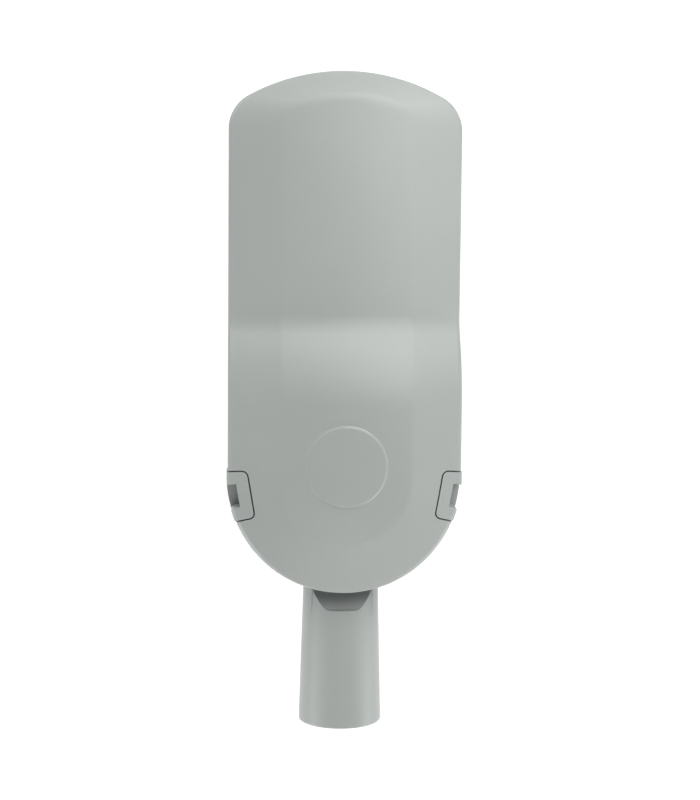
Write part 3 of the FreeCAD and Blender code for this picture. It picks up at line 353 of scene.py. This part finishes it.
def solids_of(node):
    """Corner points of each separate solid of a CAD node."""
    form = bmesh.new()
    form.from_mesh(nodes[node].data)
    bmesh.ops.remove_doubles(form, verts=form.verts, dist=WELD)
    left = set(form.verts)
    solids = []
    while left:
        solid, open_ends = [], [left.pop()]
        while open_ends:
            vert = open_ends.pop()
            solid.append(vert.co.copy())
            for edge in vert.link_edges:
                other = edge.other_vert(vert)
                if other in left:
                    left.remove(other)
                    open_ends.append(other)
        solids.append(solid)
    form.free()
    return solids


def span(points, axis):
    values = [p[axis] for p in points]
    return min(values), max(values)


def length(points, axis):
    low, high = span(points, axis)
    return high - low


def centre(points, axis):
    return sum(span(points, axis)) / 2


def add_piece(name, form, slot, body, sharp_over=32.0):
    """Object from a bmesh, shaded smooth apart from its sharp edges."""
    bmesh.ops.recalc_face_normals(form, faces=form.faces)
    mesh = bpy.data.meshes.new(name)
    form.to_mesh(mesh)
    form.free()
    mesh.polygons.foreach_set("use_smooth", [True] * len(mesh.polygons))
    mesh.set_sharp_from_angle(angle=math.radians(sharp_over))
    mesh.materials.append(looks[slot])
    piece = bpy.data.objects.new(name, mesh)
    scene.collection.objects.link(piece)
    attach(piece, body)
    return piece


def value_at(size, angle):
    return size(angle) if callable(size) else size


def turned(form, put, rings, around=48):
    """Closed form from rings of (radius, height), each a number or a function of the angle.

    Radius 0 is a middle point, and put gives the place of (radius, angle, height).
    """
    before = None
    for radius, height in rings:
        if radius == 0:
            row = [form.verts.new(put(0, 0, height))]
        else:
            row = []
            for i in range(around):
                angle = 2 * math.pi * i / around
                row.append(form.verts.new(put(value_at(radius, angle), angle, value_at(height, angle))))
        if before:
            join_rows(form, before, row)
        before = row


def join_rows(form, first, second):
    """Faces between two closed rows of corners, either of which may be a single corner."""
    count = max(len(first), len(second))
    for i in range(count):
        j = (i + 1) % count
        corners = []
        for row, places in ((first, (i, j)), (second, (j, i))):
            corners += [row[k] for k in places] if len(row) > 1 else [row[0]]
        form.faces.new(corners)


def hexagon(across, corner_first, keep=0.985):
    """Radius of a hexagon with slightly rounded corners, one of them at angle 0 if corner_first."""
    shift = 0 if corner_first else math.pi / 6
    most = across / 2 / math.cos(math.pi / 6) * keep

    def radius(angle):
        return min(across / 2 / math.cos((angle + shift) % (math.pi / 3) - math.pi / 6), most)
    return radius


def thread(radius, start, end, pitch):
    """Rings of a screw thread that runs from start down to end, with a chamfer at its end."""
    depth = THREAD_DEPTH * pitch
    rows = math.ceil((start - end) / pitch * ROWS_PER_TURN)
    rings = []
    for i in range(1, rows + 1):
        height = start + (end - start) * i / rows
        limit = radius - depth + (height - end)

        def ridge(angle, height=height, limit=limit):
            turn = (height / pitch - angle / (2 * math.pi)) % 1
            return min(radius - depth * abs(2 * turn - 1), limit)
        rings.append((ridge, height))
    return rings


def bolt_rings(across, head, shank_r, tip, pitch, corner_first):
    """Hexagon head with a chamfered, dished top and a washer face; heights count outwards from the seat."""
    side = hexagon(across, corner_first)
    rim, face, step, edge, dish = [
        share * across for share in (HEAD_RIM_R, HEAD_FACE_R, HEAD_WASHER, HEAD_EDGE, HEAD_DISH)
    ]

    def chamfer(angle):
        return head - (side(angle) - rim) * math.tan(HEAD_CHAMFER)

    def under_edge(angle):
        return side(angle) - edge
    head_rings = [
        (0, head - dish), (DISH_FLOOR_R * rim, head - dish), (DISH_R * rim, head), (rim, head),
        (side, chamfer), (side, step + edge), (under_edge, step), (face, step), (face, 0.0), (shank_r, 0.0),
    ]
    return head_rings + thread(shank_r, 0.0, tip, pitch) + [(0, tip)]


def grub_rings(radius, end, tip, well_across, well_end, pitch, corner_first):
    """Headless screw with a hexagon socket; heights count outwards along it."""
    well = hexagon(well_across, corner_first, keep=1.0)
    edge = GRUB_EDGE * radius
    rings = [
        (0, well_end), (well, well_end + GRUB_WELL_SLOPE), (well, end - edge),
        (GRUB_RIM_R * well_across, end), (radius - 2 * edge, end), (radius, end - 2 * edge),
    ]
    return rings + thread(radius, end - 2 * edge, tip, pitch) + [(0, tip)]


def add_screws(node, axis, pitch, around=48):
    """Detailed screws at the places and with the sizes of the node's solids, their heads down or outwards."""
    form = bmesh.new()
    first, second = [i for i in range(3) if i != axis]
    for points in solids_of(node):
        middle = [centre(points, i) for i in range(3)]
        out = -1 if axis == 2 else math.copysign(1, middle[axis])
        levels = sorted({round(out * p[axis] / MM, 2) for p in points})
        tip, inner, end = levels[0] * MM, levels[1] * MM, levels[-1] * MM
        width, depth = length(points, first), length(points, second)
        shank_r = length([p for p in points if out * p[axis] < tip + LEVEL_TOLERANCE], second) / 2

        def put(radius, angle, height):
            place = [0.0, 0.0, 0.0]
            place[axis] = out * height
            place[first] = middle[first] + radius * math.cos(angle)
            place[second] = middle[second] + radius * math.sin(angle)
            return place
        if node == "set_screws":
            well = [p for p in points if abs(out * p[axis] - inner) < LEVEL_TOLERANCE]
            sides = length(well, first), length(well, second)
            rings = grub_rings(shank_r, end, tip, min(sides), inner, pitch, sides[0] > sides[1])
        else:
            rings = bolt_rings(min(width, depth), end - inner, shank_r, tip - inner, pitch, width > depth)
            rings = [(radius, raised(height, inner)) for radius, height in rings]
        turned(form, put, rings, around)
    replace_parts(add_piece(node + "_fine", form, slots[node], bodies[node]), node)


def raised(height, by):
    """Height, a number or a function of the angle, with a number added."""
    if callable(height):
        return lambda angle: height(angle) + by
    return height + by


add_screws("frame_screws", axis=2, pitch=0.7 * MM, around=36)
add_screws("lens_screws", axis=2, pitch=0.5 * MM, around=36)
add_screws("tray_screws", axis=2, pitch=0.7 * MM, around=36)
add_screws("earth_screw", axis=2, pitch=0.8 * MM)
add_screws("set_screws", axis=2, pitch=1.25 * MM)
add_screws("tilt_bolts", axis=0, pitch=1.5 * MM, around=60)


# Lens plates: a smooth dome below each chip and a hollow above it

DOME_R = 8.0 * MM
HOLLOW_R = 3.9 * MM
HOLLOW_HEIGHT = 2.4 * MM
PLATE_CORNER_R = 3.25 * MM
PLATE_EDGE = 0.3 * MM
PLATE_THICKNESS = 2.0 * MM
STRIP_WIDTH = 7.0 * MM
BOARD_CLEARANCE = 0.1 * MM
HOLE_GAP = 0.1 * MM
DOME_STEPS = 12
HOLLOW_STEPS = 8
# columns and rows of faces in a lens's cell
CELL_STEPS = (12, 12)
# the strip with the screws has the same rows, and a row of cells with a hole is split in two
STRIP_COLUMNS = 4
HOLE_ROWS = 5
PLAIN_ROWS = CELL_STEPS[1] - HOLE_ROWS
# share of the way to a cell's border where its last inner ring lies
LAST_RING = 0.96
PLATE_WELD = 0.002 * MM
ON_FACE = 0.001 * MM


def border(rect, counts):
    """Points round a rectangle at even steps along each side."""
    (x0, x1), (y0, y1) = rect
    columns, rows = counts
    xs = [x0 + (x1 - x0) * i / columns for i in range(columns)]
    ys = [y0 + (y1 - y0) * i / rows for i in range(rows)]
    points = [(x, y0) for x in xs]
    points += [(x1, y) for y in ys]
    points += [(x1 + x0 - x, y1) for x in xs]
    points += [(x0, y1 + y0 - y) for y in ys]
    return points


def round_cell(form, rect, counts, middle, rings):
    """Surface from rings round a middle out to a rectangle.

    A ring is (radius, share of the way from there to the border, height).
    """
    rows = []
    for radius, share, height in rings:
        if radius == 0:
            rows.append([form.verts.new((*middle, height))])
            continue
        row = []
        for x, y in border(rect, counts):
            dx, dy = x - middle[0], y - middle[1]
            far = math.hypot(dx, dy)
            reach = (radius + (far - radius) * share) / far
            row.append(form.verts.new((middle[0] + dx * reach, middle[1] + dy * reach, height)))
        rows.append(row)
    for first, second in zip(rows, rows[1:]):
        join_rows(form, first, second)
    return rows


def flat_cell(form, rect, counts, height):
    """Flat grid of faces over a rectangle."""
    (x0, x1), (y0, y1) = rect
    columns, rows = counts
    xs = [x0 + (x1 - x0) * i / columns for i in range(columns + 1)]
    ys = [y0 + (y1 - y0) * j / rows for j in range(rows + 1)]
    grid = [[form.verts.new((x, y, height)) for x in xs] for y in ys]
    for j in range(rows):
        for i in range(columns):
            form.faces.new((grid[j][i], grid[j][i + 1], grid[j + 1][i + 1], grid[j + 1][i]))


def outwards(start, height):
    """The rings of a flat surface from a circle to the border."""
    return [(start, share, height) for share in (0.0, 0.5, LAST_RING, 1.0)]


def dome_rings(low, dome_low):
    """Ball-shaped cap that hangs from the plate's lower face."""
    height = low - dome_low
    ball_r = (DOME_R ** 2 + height ** 2) / (2 * height)
    widest = math.asin(DOME_R / ball_r)
    steps = [widest * i / DOME_STEPS for i in range(DOME_STEPS)]
    rings = [(ball_r * math.sin(a), 0.0, dome_low + ball_r * (1 - math.cos(a))) for a in steps]
    return rings + outwards(DOME_R, low)


def hollow_rings(top):
    """Hollow in the plate's upper face, over the chip."""
    rings = []
    for i in range(HOLLOW_STEPS):
        angle = math.pi / 2 * i / HOLLOW_STEPS
        rings.append((HOLLOW_R * math.sin(angle), 0.0, top - HOLLOW_HEIGHT * math.cos(angle)))
    return rings + outwards(HOLLOW_R, top)


def round_corner(point, rect):
    """Moves a point of a sharp-cornered plate to its place in the plate with rounded corners."""
    (x0, x1), (y0, y1) = rect
    r = PLATE_CORNER_R
    cx = min(max(point.x, x0 + r), x1 - r)
    cy = min(max(point.y, y0 + r), y1 - r)
    dx, dy = point.x - cx, point.y - cy
    far = math.hypot(dx, dy)
    if far > 0 and dx and dy:
        scale = max(abs(dx), abs(dy)) / far
        point.x, point.y = cx + dx * scale, cy + dy * scale


def screw_strip(form, cell, hole_first, screw_spots, hole_r, levels):
    """One row of the plate's middle strip, with a hole where a screw crosses it."""
    strip, (y0, y1) = cell
    near = [spot for spot in screw_spots if y0 < spot[1] < y1]
    if not near:
        for height in levels:
            flat_cell(form, cell, (STRIP_COLUMNS, CELL_STEPS[1]), height)
        return
    share = (HOLE_ROWS if hole_first else PLAIN_ROWS) / CELL_STEPS[1]
    split = y0 + (y1 - y0) * share
    hole_cell, plain_cell = (strip, (y0, split)), (strip, (split, y1))
    if not hole_first:
        hole_cell, plain_cell = plain_cell, hole_cell
    below, above = [
        round_cell(form, hole_cell, (STRIP_COLUMNS, HOLE_ROWS), near[0], outwards(hole_r, height))
        for height in levels
    ]
    join_rows(form, below[0], above[0])
    for height in levels:
        flat_cell(form, plain_cell, (STRIP_COLUMNS, PLAIN_ROWS), height)


def add_lens_plate(node):
    """Lens plate at the place and with the size of its solid."""
    points = solids_of(node)[0]
    rect = span(points, 0), span(points, 1)
    (x0, x1), (y0, y1) = rect
    dome_low, top = span(points, 2)
    top -= BOARD_CLEARANCE
    chips = [(centre(chip, 0), centre(chip, 1)) for chip in solids_of("led_chips")]
    spots = sorted((x, y) for x, y in chips if x0 < x < x1)
    screws = [screw for screw in solids_of("lens_screws") if x0 < centre(screw, 0) < x1]
    low = span(screws[0], 2)[1] - PLATE_THICKNESS
    shank = [p for p in screws[0] if p.z > low + PLATE_THICKNESS / 2]
    hole_r = length(shank, 0) / 2 + HOLE_GAP
    screw_spots = [(centre(screw, 0), centre(screw, 1)) for screw in screws]
    middle = screw_spots[0][0]
    strip = middle - STRIP_WIDTH / 2, middle + STRIP_WIDTH / 2
    row_ys = sorted({round(y, 6) for x, y in spots})
    edges = [y0] + [(a + b) / 2 for a, b in zip(row_ys, row_ys[1:])] + [y1]
    form = bmesh.new()
    for x, y in spots:
        row = min(range(len(row_ys)), key=lambda i: abs(row_ys[i] - y))
        columns = (x0, strip[0]) if x < strip[0] else (strip[1], x1)
        cell = columns, (edges[row], edges[row + 1])
        round_cell(form, cell, CELL_STEPS, (x, y), dome_rings(low, dome_low))
        round_cell(form, cell, CELL_STEPS, (x, y), hollow_rings(top))
    for row in range(len(row_ys)):
        cell = strip, (edges[row], edges[row + 1])
        screw_strip(form, cell, row == 0, screw_spots, hole_r, (low, top))
    for vert in form.verts:
        x, y, z = vert.co
        if min(x - x0, x1 - x, y - y0, y1 - y) < ON_FACE and z < low + ON_FACE:
            vert.co.z = low + PLATE_EDGE
        round_corner(vert.co, rect)
    bmesh.ops.remove_doubles(form, verts=form.verts, dist=PLATE_WELD)
    bmesh.ops.bridge_loops(form, edges=[e for e in form.edges if e.is_boundary])
    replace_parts(add_piece(node + "_fine", form, slots[node], bodies[node], sharp_over=40.0), node)


add_lens_plate("lens_plate_left")
add_lens_plate("lens_plate_right")


# Chips: a white package with a round well of phosphor

CHIP_CHAMFER = 0.08 * MM
# share of the package's half width
WELL_R = 0.8
WELL_SLOPE = 0.1 * MM
WELL_DEPTH = 0.1 * MM
PHOSPHOR_GAP = 0.02 * MM
# the phosphor's shallow bowl: radius as a share of the well's, and depth as a share of the well's
BOWL = ((0, 0.4), (0.5, 0.45), (0.85, 0.65))
BOWL_EDGE, BOWL_BOTTOM = 0.9, 1.5


def square(half, keep=0.93):
    """Radius of a square with slightly rounded corners."""
    def radius(angle):
        return min(half / max(abs(math.cos(angle)), abs(math.sin(angle))), half * math.sqrt(2) * keep)
    return radius


def add_chips():
    """Packages and phosphor at the places of the chips' solids, face down."""
    packages, phosphor = bmesh.new(), bmesh.new()
    for points in solids_of("led_chips"):
        x, y = centre(points, 0), centre(points, 1)
        face, board = span(points, 2)
        half = length(points, 0) / 2
        well_r, floor = WELL_R * half, face + WELL_DEPTH
        bowl_r = well_r - PHOSPHOR_GAP

        def put(radius, angle, height):
            return (x + radius * math.cos(angle), y + radius * math.sin(angle), height)
        turned(packages, put, [
            (0, board), (square(half), board), (square(half), face + CHIP_CHAMFER),
            (square(half - CHIP_CHAMFER), face), (well_r + WELL_SLOPE, face), (well_r, floor), (0, floor),
        ], around=40)
        bowl = [(share * well_r, face + depth * WELL_DEPTH) for share, depth in BOWL]
        bottom = face + BOWL_BOTTOM * WELL_DEPTH
        edge = [(bowl_r, face + BOWL_EDGE * WELL_DEPTH), (bowl_r, bottom), (0, bottom)]
        turned(phosphor, put, bowl + edge, around=40)
    pieces = (("chip_packages", packages, "white_plastic"), ("chip_phosphor", phosphor, "chip_yellow"))
    for name, form, slot in pieces:
        piece = add_piece(name, form, slot, bodies["led_chips"], sharp_over=50.0)
        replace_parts(piece, "led_chips")


add_chips()


# Room: pale floor and background, white where they are seen, and soft light

FLOOR_Z = -0.5
FLOOR_HALF = 6.0
FLOOR_COLOUR = 0.86
FLOOR_SEEN = 0.33
# distances between which the floor fades to white where the camera sees it
FLOOR_FADE = (0.7, 2.2)
WORLD_FILL = 0.01
WORLD_SEEN = 1.0
LAMP_AIM = Vector((0.0, 0.35, 0.03))
# name, degrees from +Y towards +X, degrees up, distance, width, height, watts
LAMPS = (
    ("key", 45, 55, 0.9, 0.6, 0.6, 3.6),
    ("front", 0, 35, 1.5, 0.8, 0.8, 3.2),
    ("front_high", 25, 22, 1.5, 0.8, 0.8, 6.3),
    ("front_right", 50, 22, 1.5, 0.8, 0.8, 3.1),
    ("rear_high", 180, 55, 1.5, 0.8, 0.8, 2.8),
    ("rear", 180, 35, 1.3, 1.4, 1.0, 3.1),
    ("rear_right", 135, 2, 1.4, 0.8, 0.5, 8.7),
    ("rear_left", 225, 2, 1.4, 0.8, 0.5, 8.0),
    ("left", 270, 15, 1.3, 1.4, 1.0, 1.8),
    ("front_left", 315, 2, 1.4, 0.8, 0.5, 6.3),
)


def seen_strength(tree, unseen, seen):
    """Strength that differs where the camera, a reflection or clear glass shows the background."""
    path = tree.nodes.new("ShaderNodeLightPath")
    shown = path.outputs["Is Camera Ray"]
    for ray in ("Is Glossy Ray", "Is Transmission Ray"):
        either = tree.nodes.new("ShaderNodeMath")
        either.operation = "MAXIMUM"
        tree.links.new(shown, either.inputs[0])
        tree.links.new(path.outputs[ray], either.inputs[1])
        shown = either.outputs[0]
    level = tree.nodes.new("ShaderNodeMapRange")
    level.inputs["To Min"].default_value = unseen
    level.inputs["To Max"].default_value = seen
    tree.links.new(shown, level.inputs["Value"])
    return level.outputs["Result"]


def make_world():
    """Faint fill light, and white where it is seen."""
    world = bpy.data.worlds.new("studio")
    scene.world = world
    world.use_nodes = True
    tree = world.node_tree
    background = tree.nodes["Background"]
    background.inputs["Color"].default_value = (1, 1, 1, 1)
    tree.links.new(seen_strength(tree, WORLD_FILL, WORLD_SEEN), background.inputs["Strength"])


def make_floor():
    """Pale floor that takes the shadow, and is clear from below, so that the underside can be seen."""
    mesh = bpy.data.meshes.new("floor")
    half = FLOOR_HALF
    corners = [(-half, -half), (half, -half), (half, half), (-half, half)]
    mesh.from_pydata([(x, y, FLOOR_Z) for x, y in corners], [], [(0, 1, 2, 3)])
    floor = bpy.data.objects.new("floor", mesh)
    scene.collection.objects.link(floor)
    m = Nodes("floor")
    m.set(Base_Color=(*grey(FLOOR_COLOUR), 1), Roughness=0.9, Specular_IOR_Level=0.0)
    m.set(Emission_Color=(1, 1, 1, 1))
    away = m.add("ShaderNodeVectorMath", operation="LENGTH")
    m.link(m.coordinates, away.inputs[0])
    far = m.add("ShaderNodeMapRange", interpolation_type="SMOOTHSTEP")
    far.inputs["From Min"].default_value, far.inputs["From Max"].default_value = FLOOR_FADE
    far.inputs["To Max"].default_value = 1.0 - FLOOR_SEEN
    m.link(away.outputs["Value"], far.inputs["Value"])
    far_seen = m.add("ShaderNodeMath", operation="MULTIPLY_ADD")
    m.link(far.outputs["Result"], far_seen.inputs[0])
    m.link(m.add("ShaderNodeLightPath").outputs["Is Camera Ray"], far_seen.inputs[1])
    m.link(seen_strength(m.tree, 0.0, FLOOR_SEEN), far_seen.inputs[2])
    m.link(far_seen.outputs["Value"], m.shader.inputs["Emission Strength"])
    from_below = m.add("ShaderNodeNewGeometry").outputs["Backfacing"]
    m.switch(from_below, m.shader.outputs["BSDF"], m.add("ShaderNodeBsdfTransparent").outputs["BSDF"])
    mesh.materials.append(m.material)


def make_lamp(name, azimuth, elevation, distance, width, height, watts):
    azimuth, elevation = math.radians(azimuth), math.radians(elevation)
    level = math.cos(elevation)
    away = Vector((level * math.sin(azimuth), level * math.cos(azimuth), math.sin(elevation)))
    data = bpy.data.lights.new(name, "AREA")
    data.shape = "RECTANGLE"
    data.size, data.size_y = width, height
    data.energy = watts
    lamp = bpy.data.objects.new(name, data)
    lamp.location = LAMP_AIM + away * distance
    lamp.rotation_euler = away.to_track_quat("Z", "Y").to_euler()
    lamp.visible_camera = False
    scene.collection.objects.link(lamp)


make_world()
make_floor()
for lamp in LAMPS:
    make_lamp(*lamp)

scene.view_settings.view_transform = "Standard"
